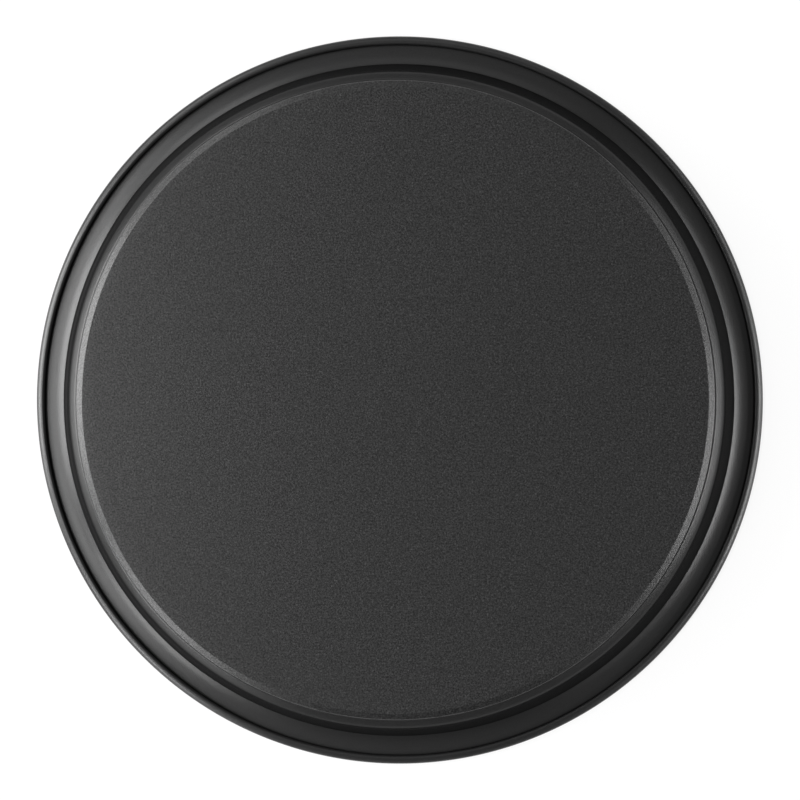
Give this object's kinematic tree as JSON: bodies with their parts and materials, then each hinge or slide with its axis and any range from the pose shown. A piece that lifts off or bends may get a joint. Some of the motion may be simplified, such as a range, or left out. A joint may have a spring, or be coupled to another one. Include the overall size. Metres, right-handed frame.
{
  "type": "microwave crisper pan",
  "caption": "Round shallow pan of coated pressed aluminium with a rolled rim and a microwave-absorbing rubber disc bonded under its base, lying face down on its rim.",
  "frame": {"origin": "centre of the circle on which the rim rests, with the pan lying face down", "axes": "+Z is the pan's axis and points out of the absorber disc; the dish opens towards -Z. X and Y are free, because the pan is round. Turned over about X it stands on the disc, ready for use."},
  "size_m": [0.305, 0.305, 0.026],
  "materials": {
    "coated_aluminium": "dark grey satin coat, non-stick on the cooking side",
    "absorber_rubber": "dark grey ferrite-filled silicone rubber, fine matt grain"
  },
  "bodies": {
    "root": {"pan_shell": "coated_aluminium", "absorber_disc": "absorber_rubber"}
  },
  "joints": []
}
